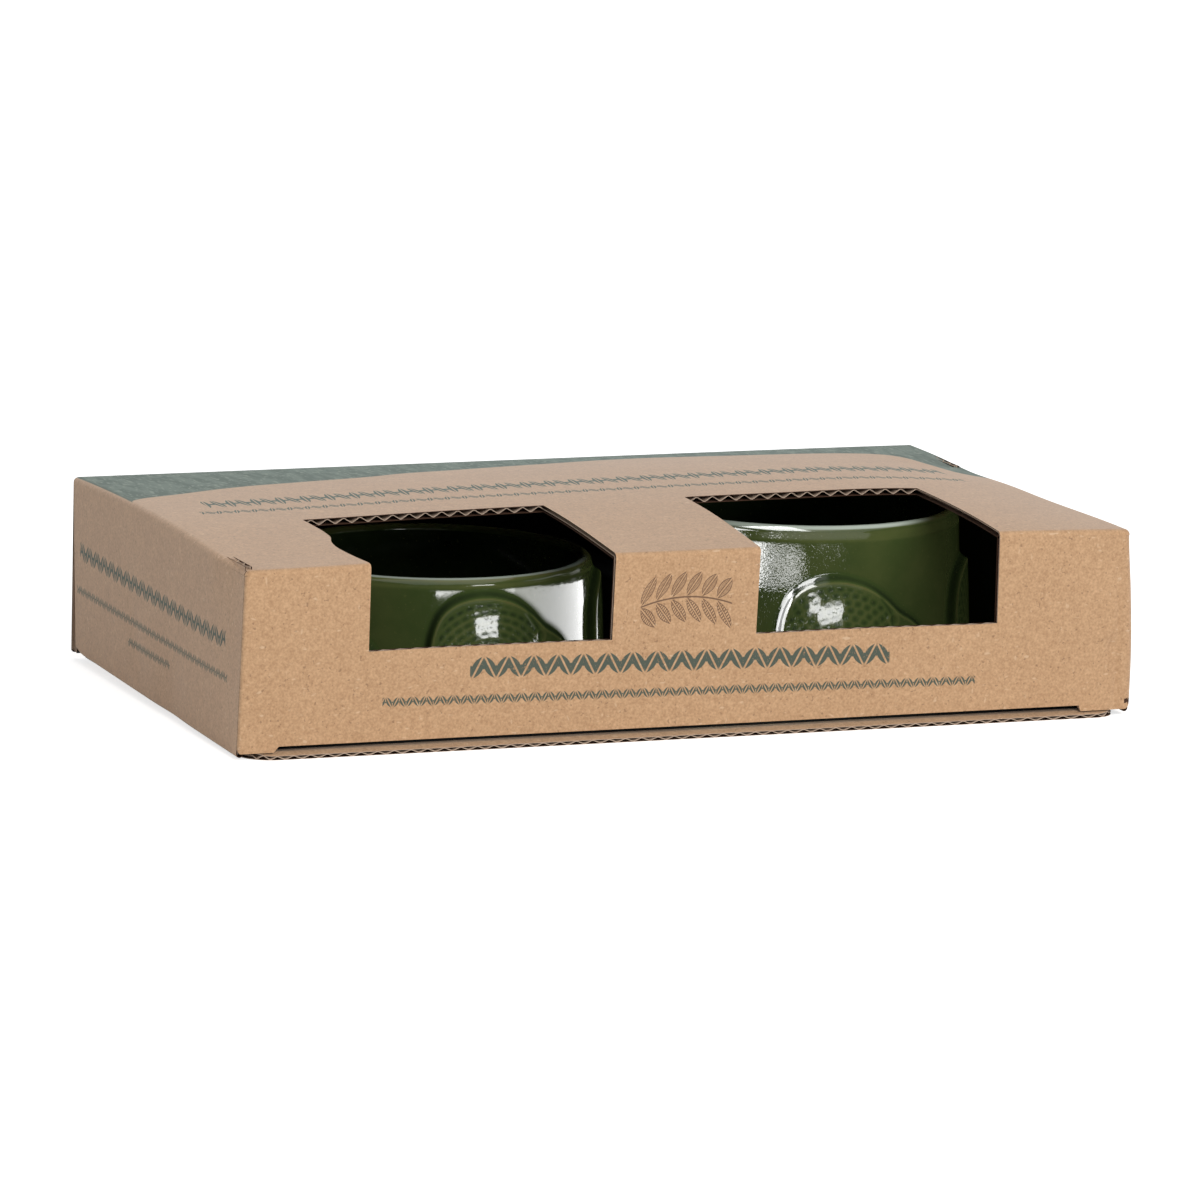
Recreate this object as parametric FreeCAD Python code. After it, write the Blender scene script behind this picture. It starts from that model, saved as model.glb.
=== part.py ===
import FreeCAD
import Part
import math
import os
from FreeCAD import Vector

# A retail set: a folded kraft carton with two windows, holding two round hedgehog bowls of glazed ceramic.
# Millimetres, +Z up. The origin is under the middle of the carton, on the table. The front faces -Y.

# Corrugated board and the carton's outside
board = 2.5
carton_width = 330.0
carton_depth = 190.0
head_room = 3.8
crown = 4.4
fold_radius = 2.2

# Windows: each one is cut across the front fold, in the top panel and in the front wall
window_width = 90.2
window_spacing = 144.8
window_reach = 73.0
window_sill = 36.3
tear_depth = 2.4

# Lower edge of the front wall: a shallow notch between two feet
foot_width = 13.5
notch_height = 2.6
notch_slant = 2.0

# Side walls and corner flaps
side_drop = 1.5
side_slot = 0.8
rear_taper = 7.5
flap_reach = 48.0
inner_wall_gap = 0.6
flap_top_gap = 0.4

# Bottom board
base_play = 0.4
base_corner = 12.0

# Bowls, measured from the foot ring
bowl_rim_radius = 58.5
bowl_foot_radius = 61.0
bowl_wall = 5.5
bowl_floor = 6.0
drinking_height = 58.4
feeding_height = 45.4
rim_rounding = 2.3
foot_rounding = 3.0
well_rounding = 9.0
foot_ring_width = 6.0
foot_recess = 1.6
bowl_side_gap = 2.55
bowl_back_gap = 2.05

# Reliefs round each bowl: a curled up back and a pointed snout
relief_count = 5
relief_rise = 4.2
relief_sink = 5.0
relief_half_width = 22.0
relief_shift = -3.5
rim_band = 4.9
relief_bottom = 3.5
snout_shift = 20.0
snout_half_length = 14.0
snout_half_height = 8.0
snout_height = 18.0
snout_tilt = 25.0
snout_rise = 2.6
drinking_turn = -3.5
feeding_turn = 1.0

# Divider that keeps the bowls apart
divider_clearance = 0.5
divider_width = 14.6
divider_height = 35.0
divider_length = 121.0
divider_back_gap = 1.5

half_width = carton_width / 2
half_depth = carton_depth / 2
fold_height = board + drinking_height + head_room + board
arch_radius = (half_depth ** 2 + crown ** 2) / (2 * crown)
arch_centre = fold_height + crown - arch_radius

# The reliefs stand on the wall at half its height. The tall bowl stands in the carton's right rear corner,
# and the low one beyond the divider.
wall_radius = (bowl_rim_radius + bowl_foot_radius) / 2
relief_radius = wall_radius + relief_rise
relief_top = feeding_height - rim_band
bowl_spacing = 2 * relief_radius + divider_width + 2 * divider_clearance
drinking_x = half_width - 3 * board - bowl_side_gap - relief_radius
feeding_x = drinking_x - bowl_spacing
bowls_y = half_depth - board - bowl_back_gap - relief_radius
overshoot = 20.0


def block(x0, x1, y0, y1, z0, z1):
    return Part.makeBox(x1 - x0, y1 - y0, z1 - z0, Vector(x0, y0, z0))


def arch_point(radius, y):
    return Vector(-half_width, y, arch_centre + math.sqrt(radius ** 2 - y ** 2))


def arch_edge(radius):
    start = arch_point(radius, -half_depth)
    middle = arch_point(radius, 0)
    end = arch_point(radius, half_depth)
    return Part.Arc(start, middle, end).toShape(), start, end


def arched_slab(lower_radius, upper_z=None):
    """Extrude the region above an arch, up to a second arch or up to a level, over the whole width."""
    low, low_start, low_end = arch_edge(lower_radius)
    if upper_z is None:
        high, high_start, high_end = arch_edge(arch_radius)
    else:
        high_start = Vector(-half_width, -half_depth, upper_z)
        high_end = Vector(-half_width, half_depth, upper_z)
        high = Part.makeLine(high_start, high_end)
    sides = [Part.makeLine(low_start, high_start), Part.makeLine(low_end, high_end)]
    outline = Part.Wire(Part.__sortEdges__([low, high] + sides))
    return Part.Face(outline).extrude(Vector(carton_width, 0, 0))


def above_ceiling():
    """Everything above the underside of the top panel."""
    return arched_slab(arch_radius - board, fold_height + crown + overshoot)


def window_range(side):
    centre = side * window_spacing / 2
    return centre - window_width / 2, centre + window_width / 2


def torn_edge_window():
    """Top part of the left window: its left edge is a shallow S, where the board tore instead of shearing."""
    x0, x1 = window_range(-1)
    front = -half_depth
    back = front + window_reach
    low = fold_height - overshoot
    middle = (front + back) / 2
    ahead = Part.Arc(Vector(x0, front, low), Vector(x0 - tear_depth, (front + middle) / 2, low),
                     Vector(x0, middle, low)).toShape()
    behind = Part.Arc(Vector(x0, middle, low), Vector(x0 + tear_depth, (middle + back) / 2, low),
                      Vector(x0, back, low)).toShape()
    corners = [Vector(x0, back, low), Vector(x1, back, low), Vector(x1, front - overshoot, low),
               Vector(x0, front - overshoot, low), Vector(x0, front, low)]
    straight = [Part.makeLine(a, b) for a, b in zip(corners, corners[1:])]
    outline = Part.Wire(Part.__sortEdges__([ahead, behind] + straight))
    return Part.Face(outline).extrude(Vector(0, 0, crown + 2 * overshoot))


def straight_edge_window():
    x0, x1 = window_range(1)
    front = -half_depth
    return block(x0, x1, front - overshoot, front + window_reach, fold_height - overshoot,
                 fold_height + crown + overshoot)


def top_panel():
    panel = arched_slab(arch_radius - board)
    folds = [edge for edge in panel.Edges if is_outer_fold(edge)]
    panel = panel.makeFillet(fold_radius, folds)
    return panel.cut(torn_edge_window()).cut(straight_edge_window())


def is_outer_fold(edge):
    """The four edges on the arch's upper side, which are folds to the walls."""
    middle = edge.valueAt((edge.FirstParameter + edge.LastParameter) / 2)
    return abs(math.hypot(middle.y, middle.z - arch_centre) - arch_radius) < board / 10


def front_wall():
    wall = block(-half_width, half_width, -half_depth, -half_depth + board, board, fold_height)
    corners = [edge for edge in wall.Edges if is_outer_corner(edge, -half_depth)]
    wall = wall.makeFillet(fold_radius, corners)
    for side in (-1, 1):
        x0, x1 = window_range(side)
        wall = wall.cut(block(x0, x1, -half_depth - overshoot, -half_depth + overshoot, window_sill,
                              fold_height + overshoot))
    notch_half = half_width - foot_width
    corners = [Vector(-notch_half - notch_slant, -half_depth - overshoot, board),
               Vector(-notch_half, -half_depth - overshoot, board + notch_height),
               Vector(notch_half, -half_depth - overshoot, board + notch_height),
               Vector(notch_half + notch_slant, -half_depth - overshoot, board)]
    notch = Part.Face(Part.makePolygon(corners + corners[:1])).extrude(Vector(0, 2 * overshoot, 0))
    return wall.cut(notch).cut(above_ceiling())


def is_outer_corner(edge, y):
    """Upright edges in the plane y, where a wall folds round to its corner flap."""
    box = edge.BoundBox
    return box.ZLength > board and abs(box.YMin - y) < 0.01 and abs(box.YMax - y) < 0.01


def back_wall():
    wall = block(-half_width, half_width, half_depth - board, half_depth, board, fold_height)
    corners = [edge for edge in wall.Edges if is_outer_corner(edge, half_depth)]
    return wall.makeFillet(fold_radius, corners).cut(above_ceiling())


def mirrored(shape, side):
    """Pieces are drawn on the right; the left ones are their mirror images."""
    if side > 0:
        return shape
    return shape.mirror(Vector(0, 0, 0), Vector(1, 0, 0))


def outer_wall(side):
    """Side wall, folded down from the top panel. Its free rear edge leans forward towards the bottom."""
    front = -half_depth + board + side_slot
    back = half_depth - board - side_slot
    bottom = board - side_drop
    outer = half_width
    corners = [Vector(outer, front, bottom), Vector(outer, back - rear_taper, bottom),
               Vector(outer, back, fold_height), Vector(outer, front, fold_height)]
    wall = Part.Face(Part.makePolygon(corners + corners[:1])).extrude(Vector(-board, 0, 0))
    return mirrored(wall.cut(above_ceiling()), side)


def inner_wall(side):
    """The side wall rolled over: a web along its lower edge and the board that stands up inside."""
    front = -half_depth + board + side_slot
    back = half_depth - board - side_slot - rear_taper
    inner = half_width - 3 * board
    web = block(inner, half_width - board, front, back, board, 2 * board)
    upright = block(inner, inner + board, front, back, board, fold_height)
    ceiling = above_ceiling()
    ceiling.translate(Vector(0, 0, -inner_wall_gap))
    return mirrored(web.fuse(upright).removeSplitter().cut(ceiling), side)


def corner_flap(side, end):
    """Flap of the front or back wall, trapped between the outer and the inner side wall."""
    inner = half_width - 2 * board
    near = half_depth - board
    y0, y1 = sorted((end * near, end * (near - flap_reach)))
    flap = block(inner, inner + board, y0, y1, 2 * board, fold_height)
    ceiling = above_ceiling()
    ceiling.translate(Vector(0, 0, -flap_top_gap))
    return mirrored(flap.cut(ceiling), side)


def bottom_board():
    reach = half_width - board - base_play
    plate = block(-reach, reach, -half_depth, half_depth, 0, board)
    corners = [edge for edge in plate.Edges
               if edge.BoundBox.ZLength > board / 2 and edge.BoundBox.YMax < 0]
    return plate.makeFillet(base_corner, corners)


def divider():
    """A strip of board folded into a narrow upside-down channel between the bowls."""
    middle = (feeding_x + drinking_x) / 2
    x0 = middle - divider_width / 2
    x1 = middle + divider_width / 2
    y1 = half_depth - board - divider_back_gap
    y0 = y1 - divider_length
    outside = block(x0, x1, y0, y1, board, board + divider_height)
    folds = [edge for edge in outside.Edges
             if edge.BoundBox.YLength > board and edge.BoundBox.ZMin > board + divider_height / 2]
    outside = outside.makeFillet(fold_radius, folds)
    return outside.cut(block(x0 + board, x1 - board, y0 - 1, y1 + 1, board - 1, divider_height))


def bowl_profile(height):
    """Half section of a bowl in the XZ plane, from its foot ring to its rounded rim."""
    inside_rim = bowl_rim_radius - bowl_wall
    inside_foot = bowl_foot_radius - bowl_wall - (bowl_foot_radius - bowl_rim_radius) * bowl_floor / height
    ring = bowl_foot_radius - foot_ring_width
    corners = [(0, foot_recess), (ring, foot_recess), (ring, 0), (bowl_foot_radius, 0),
               (bowl_rim_radius, height), (inside_rim, height), (inside_foot, bowl_floor), (0, bowl_floor)]
    points = [Vector(r, 0, z) for r, z in corners]
    return Part.Face(Part.makePolygon(points + points[:1]))


def round_edge(shape, radius, size, z):
    """Fillet the circular edge that has this radius and height."""
    found = [edge for edge in shape.Edges
             if isinstance(edge.Curve, Part.Circle)
             and abs(edge.Curve.Radius - radius) < 0.01
             and abs(edge.Curve.Center.z - z) < 0.01]
    return shape.makeFillet(size, found)


def plain_bowl(height):
    turned = bowl_profile(height).revolve(Vector(0, 0, 0), Vector(0, 0, 1), 360)
    inside_foot = bowl_foot_radius - bowl_wall - (bowl_foot_radius - bowl_rim_radius) * bowl_floor / height
    turned = round_edge(turned, bowl_foot_radius, foot_rounding, 0)
    turned = round_edge(turned, bowl_rim_radius, rim_rounding, height)
    turned = round_edge(turned, bowl_rim_radius - bowl_wall, rim_rounding, height)
    return round_edge(turned, inside_foot, well_rounding, bowl_floor)


def egg(half_x, half_y, half_z):
    """A ball stretched to three half sizes."""
    matrix = FreeCAD.Matrix()
    matrix.scale(half_x, half_y, half_z)
    return Part.makeSphere(1).transformGeometry(matrix)


def on_wall(shape, along, height):
    """Put a shape just inside the wall's outer face, at a distance along the wall from the front."""
    shape.translate(Vector(0, relief_sink - wall_radius, height))
    shape.rotate(Vector(0, 0, 0), Vector(0, 0, 1), math.degrees(along / wall_radius))
    return shape


def relief():
    """One raised hedgehog on the bowl's wall, facing -Y, with its snout towards +X."""
    middle = (relief_top + relief_bottom) / 2
    depth = relief_rise + relief_sink
    share = math.sqrt(1 - (relief_sink / depth) ** 2)
    back = egg(relief_half_width, depth, (relief_top - relief_bottom) / 2 / share)
    snout = egg(snout_half_length, snout_rise + relief_sink, snout_half_height)
    snout.rotate(Vector(0, 0, 0), Vector(0, 1, 0), snout_tilt)
    return on_wall(back, relief_shift, middle).fuse(on_wall(snout, snout_shift, snout_height))


def relief_room(height):
    """Ring that holds the reliefs: it starts inside the wall and stops short of the foot and of the rim."""
    inside = bowl_rim_radius - bowl_wall / 2
    outer = Part.makeCylinder(relief_radius + relief_sink, relief_top, Vector(0, 0, relief_bottom))
    return outer.cut(Part.makeCylinder(inside, height, Vector(0, 0, 0)))


def bowl(height, turn, x):
    shape = plain_bowl(height)
    room = relief_room(height)
    for index in range(relief_count):
        pad = relief().common(room)
        pad.rotate(Vector(0, 0, 0), Vector(0, 0, 1), turn + index * 360 / relief_count)
        shape = shape.fuse(pad)
    shape = shape.removeSplitter()
    shape.translate(Vector(x, bowls_y, board))
    return shape


def pieces():
    found = {
        "bottom_board": bottom_board(),
        "divider": divider(),
        "top_panel": top_panel(),
        "front_wall": front_wall(),
        "back_wall": back_wall(),
        "feeding_bowl": bowl(feeding_height, feeding_turn, feeding_x),
        "drinking_bowl": bowl(drinking_height, drinking_turn, drinking_x),
    }
    for side, name in ((-1, "left"), (1, "right")):
        found[name + "_outer_wall"] = outer_wall(side)
        found[name + "_inner_wall"] = inner_wall(side)
        found["front_" + name + "_flap"] = corner_flap(side, -1)
        found["back_" + name + "_flap"] = corner_flap(side, 1)
    return found


def main():
    os.makedirs("parts", exist_ok=True)
    for name, shape in pieces().items():
        solids = shape.Solids
        solid = solids[0] if len(solids) == 1 else shape
        print(name, "solids", len(solids), "valid", shape.isValid(), "cm3", round(shape.Volume / 1000, 1))
        solid.exportStep("parts/" + name + ".step")


main()
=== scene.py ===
import math
import re

import bpy
import numpy as np
from mathutils import Matrix, Vector


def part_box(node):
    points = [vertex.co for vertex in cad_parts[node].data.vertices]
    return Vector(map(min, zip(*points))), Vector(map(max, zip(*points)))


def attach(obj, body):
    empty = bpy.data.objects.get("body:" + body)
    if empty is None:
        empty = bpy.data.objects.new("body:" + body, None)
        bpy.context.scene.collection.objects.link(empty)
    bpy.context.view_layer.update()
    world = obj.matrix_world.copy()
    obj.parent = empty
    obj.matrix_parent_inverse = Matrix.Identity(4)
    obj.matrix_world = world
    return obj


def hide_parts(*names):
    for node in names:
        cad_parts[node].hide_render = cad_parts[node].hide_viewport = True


# A kraft window carton with two glazed hedgehog bowls.
# Sizes are in millimetres and meshes are scaled by mm. Depth into a board counts from its outer face.

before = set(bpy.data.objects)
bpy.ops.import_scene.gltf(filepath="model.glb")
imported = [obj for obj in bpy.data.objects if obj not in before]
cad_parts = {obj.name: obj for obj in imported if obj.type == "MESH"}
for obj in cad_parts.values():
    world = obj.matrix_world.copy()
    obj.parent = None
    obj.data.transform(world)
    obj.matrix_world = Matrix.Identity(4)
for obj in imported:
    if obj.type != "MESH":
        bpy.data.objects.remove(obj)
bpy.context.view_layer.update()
mm = 0.001


def boxOf(node):
    low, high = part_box(node)
    return np.array(low) / mm, np.array(high) / mm


board = {
    "thickness": boxOf("bottom_board")[1][2],
    "liner": 0.26,
    "medium": 0.24,
    "flutePitch": 6.1,
    "stepsPerFlute": 10,
    "fold": 2.0,
    "foldSteps": 6,
    "sharpFrom": 40,
    # grid steps of the flat boards' liners, and along their flutes
    "flatStep": 6.0,
    "fluteRun": 12.0,
}

carton = {
    "halfWidth": boxOf("top_panel")[1][0],
    "halfDepth": boxOf("top_panel")[1][1],
    "top": boxOf("top_panel")[1][2],
    "cadCrown": 4.4,
    # how far the top panel swells between its front and rear folds, from left to right
    "crown": [(-165, 2.3), (-118, 2.6), (-60, 3.9), (0, 4.6), (60, 5.1), (112, 4.8), (148, 2.2), (165, 0.2)],
    # how far the front fold rises or dips, from left to right
    "foldDrift": [(-165, -1.1), (-135, -0.8), (-103, -0.1), (-60, -0.2), (0, -0.7), (35, -0.5), (80, 0.6),
                  (117, 1.2), (145, 0.7), (165, 0.1)],
    "driftFade": (10, 93),
    # how far the top sinks at its right end, the middle and spread of that dip from front to back, and
    # where it begins and ends from left to right
    "endSag": (1.1, 35, 26),
    "endSagSpan": (125, 165),
    # radius of the upright front corners, left and right, and of the rear ones
    "frontCorner": {-1: 1.2, 1: 2.6},
    "rearCorner": {-1: 2.0, 1: 2.0},
    # how far the right front corner stands out, by height
    "flare": [(0, 5.7), (25, 5.9), (45, 5.0), (62, 3.7), (72, 3.3)],
    "flareSpan": (143, 165),
    "flareFade": (20, 95),
    # how far the left front corner leans in, from its foot to its top
    "leanIn": 2.0,
    "leanSpan": (150, 165),
    "leanFade": (60, 95),
}
foldHeight = carton["top"] - carton["cadCrown"]

window = {
    "width": 90.2,
    "spacing": 144.8,
    "reach": {-1: 73.0, 1: 75.0},
    "sill": 36.3,
    # how far the sill sinks, and the strips beside the windows drift to the left, from left to right
    "sillDrop": [(-165, 0), (27, 0), (62, 0.3), (90, 1.0), (115, 1.4), (132, 0.7), (165, 0)],
    "sway": [(-165, 0), (-103, 0.2), (-20, 0.4), (25, 0.8), (70, 0.3), (115, 0), (165, 0)],
    "lowSway": [(-165, 0), (-103, 0.4), (-20, 0.8), (25, 1.0), (70, 0.5), (115, 0), (165, 0)],
    "swayFade": (40, 93),
    "swayHeights": (18, 34),
    "sillSpread": 7,
    # sideways shift of the left window's torn edge, from its rear corner to the front fold
    "tear": [(-100, 0), (-92.4, -0.2), (-86, -1.4), (-77, -2.7), (-67, -3.3), (-59, -2.2), (-53, -0.3),
             (-46, 0.4), (-36, 0.4), (-22, 0), (0, 0)],
    "tearFade": 9.0,
}


# Small helpers

# Value at a place on a smooth line through a few points, flat past its ends.
def smoothThrough(points, at):
    xs, ys = np.array(points, float).T
    slopes = np.gradient(ys, xs)
    at = np.clip(np.asarray(at, float), xs[0], xs[-1])
    k = np.clip(np.searchsorted(xs, at) - 1, 0, len(xs) - 2)
    span = xs[k + 1] - xs[k]
    t = (at - xs[k]) / span
    a = ys[k] * (1 + 2 * t) * (1 - t) ** 2 + ys[k + 1] * t * t * (3 - 2 * t)
    return a + span * (slopes[k] * t * (1 - t) ** 2 - slopes[k + 1] * t * t * (1 - t))


def ramp(value, low, high):
    t = np.clip((value - low) / (high - low), 0, 1)
    return t * t * (3 - 2 * t)


# 1 at the middle, fading to both sides.
def hill(value, middle, width, power=2):
    return np.exp(-((value - middle) / width) ** power)


# The left or the right one of a pair, by the sign of u.
def bySide(pair, u):
    return np.where(u < 0, pair[-1], pair[1])


# Distance and heading on a quarter disc of a point that lies past the ends of both directions.
def roundCorner(outX, outY):
    far = np.maximum(outX, outY)
    share = np.minimum(outX, outY) / np.maximum(far, 1e-9) * math.pi / 4
    return far, np.where(outX >= outY, share, math.pi / 2 - share)


# Grid lines that pass through every stop and are at most one step apart.
def spaced(stops, step):
    found = [stops[0]]
    for a, b in zip(stops, stops[1:]):
        count = max(1, math.ceil((b - a) / step - 1e-6))
        found += [a + (b - a) * k / count for k in range(1, count + 1)]
    return np.array(found)


# Grid lines over a flat stretch and round the fold at each end of it. low and high are the folds' radii.
def withFolds(half, step, stops=(), low=board["fold"], high=board["fold"]):
    steps = board["foldSteps"]
    first, last = low - half, half - high
    before = [first - low * math.pi / 2 * k / steps for k in range(steps, 0, -1)]
    after = [last + high * math.pi / 2 * k / steps for k in range(1, steps + 1)]
    return np.array(before + list(spaced(sorted([first, *stops, last]), step)) + after)


def grid(us, vs):
    u, v = np.meshgrid(us, vs, indexing="ij")
    return u.ravel(), v.ravel(), np.arange(u.size).reshape(u.shape)


def layerFaces(index, keep):
    a, b = index[:-1, :-1][keep], index[1:, :-1][keep]
    c, d = index[1:, 1:][keep], index[:-1, 1:][keep]
    return np.stack([a, b, c, d], axis=1)


# Faces that close a sheet along its outline and round its holes.
def rimFaces(index, keep, count):
    padded = np.pad(keep, 1)
    faces = []
    for (du, dv), (bu, bv), (au, av) in (((0, -1), (1, 0), (0, 0)), ((1, 0), (1, 1), (1, 0)),
                                         ((0, 1), (0, 1), (1, 1)), ((-1, 0), (0, 0), (0, 1))):
        beyond = padded[1 + du:padded.shape[0] - 1 + du, 1 + dv:padded.shape[1] - 1 + dv]
        i, j = np.nonzero(keep & ~beyond)
        b, a = index[i + bu, j + bv], index[i + au, j + av]
        faces.append(np.stack([b, a, a + count, b + count], axis=1))
    return np.concatenate(faces)


# A closed sheet of paper between two depths. finishes: material numbers of its outer, inner and cut faces.
def sheet(us, vs, keep, surface, outer, inner, finishes):
    u, v, index = grid(us, vs)
    points = np.concatenate([surface(u, v, outer), surface(u, v, inner)])
    top = layerFaces(index, keep)
    faces = [top, top[:, ::-1] + len(u), rimFaces(index, keep, len(u))]
    return points, np.concatenate(faces), np.repeat(finishes, [len(f) for f in faces])


# The wavy middle paper: a flat sheet at half depth, which the flute tree pushes into waves.
def flutedSheet(us, vs, keep, surface, acrossU):
    u, v, index = grid(us, vs)
    middle, small = board["thickness"] / 2, 0.05
    up = (surface(u, v, middle - small) - surface(u, v, middle + small)) / (2 * small)
    mesh = bpy.data.meshes.new("flutes")
    mesh.from_pydata((surface(u, v, middle) * mm).tolist(), [], layerFaces(index, keep).tolist())
    mesh.attributes.new("across", "FLOAT", "POINT").data.foreach_set("value", u if acrossU else v)
    mesh.attributes.new("boardUp", "FLOAT_VECTOR", "POINT").data.foreach_set("vector", up.ravel())
    flat = addObject("flutes", mesh)
    runTree(flat, fluteTree, {
        "Flute pitch": board["flutePitch"],
        "Wave height": (board["thickness"] - 2 * board["liner"] - board["medium"]) * mm,
        "Material": flutePaper,
    })
    thick = flat.modifiers.new("paper", "SOLIDIFY")
    thick.thickness = board["medium"] * mm
    thick.offset = 0
    result = takenResult(flat)
    points = np.empty(len(result.vertices) * 3)
    result.vertices.foreach_get("co", points)
    faces = [tuple(p.vertices) for p in result.polygons]
    bpy.data.meshes.remove(result)
    return points.reshape(-1, 3) / mm, faces, np.full(len(faces), 3)


def addObject(name, data):
    made = bpy.data.objects.new(name, data)
    bpy.context.scene.collection.objects.link(made)
    return made


# A modifier's inputs are set by the identifiers of the sockets with these names.
def runTree(owner, tree, values):
    modifier = owner.modifiers.new("nodes", "NODES")
    modifier.node_group = tree
    for item in tree.interface.items_tree:
        if item.item_type == "SOCKET" and item.in_out == "INPUT" and item.name in values:
            modifier[item.identifier] = values[item.name]


# Plain mesh of an object with its modifiers run; the object itself goes.
def takenResult(owner):
    bpy.context.view_layer.update()
    result = bpy.data.meshes.new_from_object(owner.evaluated_get(bpy.context.evaluated_depsgraph_get()))
    old = owner.data
    bpy.data.objects.remove(owner)
    bpy.data.meshes.remove(old)
    return result


def finishMesh(mesh, materials, numbers):
    mesh.materials.clear()
    for material in materials:
        mesh.materials.append(material)
    mesh.polygons.foreach_set("material_index", np.array(numbers, np.int32))
    mesh.polygons.foreach_set("use_smooth", np.ones(len(numbers), bool))


# The CAD node that a piece stands for: topPanel stands for top_panel.
def nodeOf(name):
    return re.sub("[A-Z]", lambda found: "_" + found.group().lower(), name)


def placed(name, mesh, body):
    mesh.update()
    piece = addObject(name, mesh)
    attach(piece, body)
    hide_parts(nodeOf(name))
    print("made", name, len(mesh.polygons))
    return piece


# One object from the closed parts of its boards.
def makeBoards(name, parts, body="cover"):
    points = np.concatenate([partPoints for partPoints, _, _ in parts])
    faces, start = [], 0
    for partPoints, partFaces, _ in parts:
        faces += [tuple(int(k) + start for k in face) for face in partFaces]
        start += len(partPoints)
    used = np.zeros(len(points), bool)
    used[[k for face in faces for k in face]] = True
    place = (np.cumsum(used) - 1).tolist()
    mesh = bpy.data.meshes.new(name)
    mesh.from_pydata((points[used] * mm).tolist(), [], [tuple(place[k] for k in face) for face in faces])
    finishMesh(mesh, boardFinish, np.concatenate([tint for _, _, tint in parts]))
    mesh.set_sharp_from_angle(angle=math.radians(board["sharpFrom"]))
    return placed(name, mesh, body)


def nothing(u, v):
    return np.zeros(u.shape, bool)


# Outer liner, fluted middle and inner liner of one board. cut(u, v) is true where the board is missing.
def boardParts(us, vs, fluteUs, fluteVs, surface, cut=nothing, acrossU=True, faces=(0, 2), edge=1):
    def kept(us, vs):
        return ~cut(*np.meshgrid((us[1:] + us[:-1]) / 2, (vs[1:] + vs[:-1]) / 2, indexing="ij"))

    full, liner, keep = board["thickness"], board["liner"], kept(us, vs)
    return [
        sheet(us, vs, keep, surface, 0, liner, (faces[0], 1, edge)),
        flutedSheet(fluteUs, fluteVs, kept(fluteUs, fluteVs), surface, acrossU),
        sheet(us, vs, keep, surface, full - liner, full, (1, faces[1], edge)),
    ]


# Node helpers, used by shader trees and geometry trees alike

# A node's output that can be reckoned with: each sign adds a Math node to its tree.
class Value:
    def __init__(self, socket):
        self.socket = socket

    def __abs__(self):
        return calc("ABSOLUTE", self)


for sign, operation in {
    "add": "ADD", "sub": "SUBTRACT", "mul": "MULTIPLY", "truediv": "DIVIDE", "pow": "POWER",
    "mod": "FLOORED_MODULO", "lt": "LESS_THAN", "gt": "GREATER_THAN",
}.items():
    setattr(Value, f"__{sign}__", lambda a, b, operation=operation: calc(operation, a, b))
    if sign in ("add", "sub", "mul"):
        setattr(Value, f"__r{sign}__", lambda a, b, operation=operation: calc(operation, b, a))


def treeOf(*values):
    return next(value.socket.id_data for value in values if isinstance(value, Value))


# Fill an input with a number, a colour or another node's output.
def put(value, socket):
    if isinstance(value, Value):
        socket.id_data.links.new(value.socket, socket)
    else:
        socket.default_value = (*value, 1) if socket.type == "RGBA" else value


def fill(node, inputs):
    for key, value in inputs.items():
        put(value, node.inputs[key])


# One output of a new node, with the node's settings made and its inputs filled.
def added(tree, kind, inputs, output=0, **settings):
    node = tree.nodes.new(kind)
    for name, value in settings.items():
        setattr(node, name, value)
    fill(node, inputs)
    return Value(node.outputs[output])


def calc(operation, *values):
    return added(treeOf(*values), "ShaderNodeMath", dict(enumerate(values)), operation=operation)


def largest(*values):
    found = values[0]
    for value in values[1:]:
        found = calc("MAXIMUM", found, value)
    return found


# A node group with its input values and its output socket. inputs and output give each one's kind by name.
def newTree(name, kind, inputs, output):
    tree = bpy.data.node_groups.new(name, kind)
    for way, sockets in (("INPUT", inputs), ("OUTPUT", output)):
        for label, socket in sockets.items():
            tree.interface.new_socket(label, in_out=way, socket_type="NodeSocket" + socket)
    given = tree.nodes.new("NodeGroupInput").outputs
    return tree, [Value(given[label]) for label in inputs], tree.nodes.new("NodeGroupOutput").inputs[0]


def named(tree, name, kind="FLOAT"):
    return added(tree, "GeometryNodeInputNamedAttribute", {"Name": name}, "Attribute", data_type=kind)


def scaled(vector, factor):
    return added(treeOf(vector), "ShaderNodeVectorMath", {0: vector, "Scale": factor}, operation="SCALE")


# Move every point by an offset, store values, then Realize Instances and Set Material.
def moveAndFinish(geometry, offset, material, result, stored):
    tree = treeOf(geometry)
    geometry = added(tree, "GeometryNodeSetPosition", {"Geometry": geometry, "Offset": offset})
    for name, value in stored.items():
        geometry = added(tree, "GeometryNodeStoreNamedAttribute",
                         {"Geometry": geometry, "Name": name, "Value": value})
    geometry = added(tree, "GeometryNodeRealizeInstances", {0: geometry})
    put(added(tree, "GeometryNodeSetMaterial", {"Geometry": geometry, "Material": material}), result)


# Waves across a flat sheet: up and down by half the wave height, along its boardUp directions.
def makeFluteTree():
    tree, (geometry, pitch, height, material), result = newTree("flutedPaper", "GeometryNodeTree", {
        "Geometry": "Geometry", "Flute pitch": "Float", "Wave height": "Float", "Material": "Material",
    }, {"Geometry": "Geometry"})
    angle = named(tree, "across") / pitch * (2 * math.pi)
    shape = (calc("SINE", angle) + calc("SINE", angle * 3) * -0.09) / 1.09
    offset = scaled(named(tree, "boardUp", "FLOAT_VECTOR"), shape * (height * 0.5))
    moveAndFinish(geometry, offset, material, result, {})
    return tree


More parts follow.
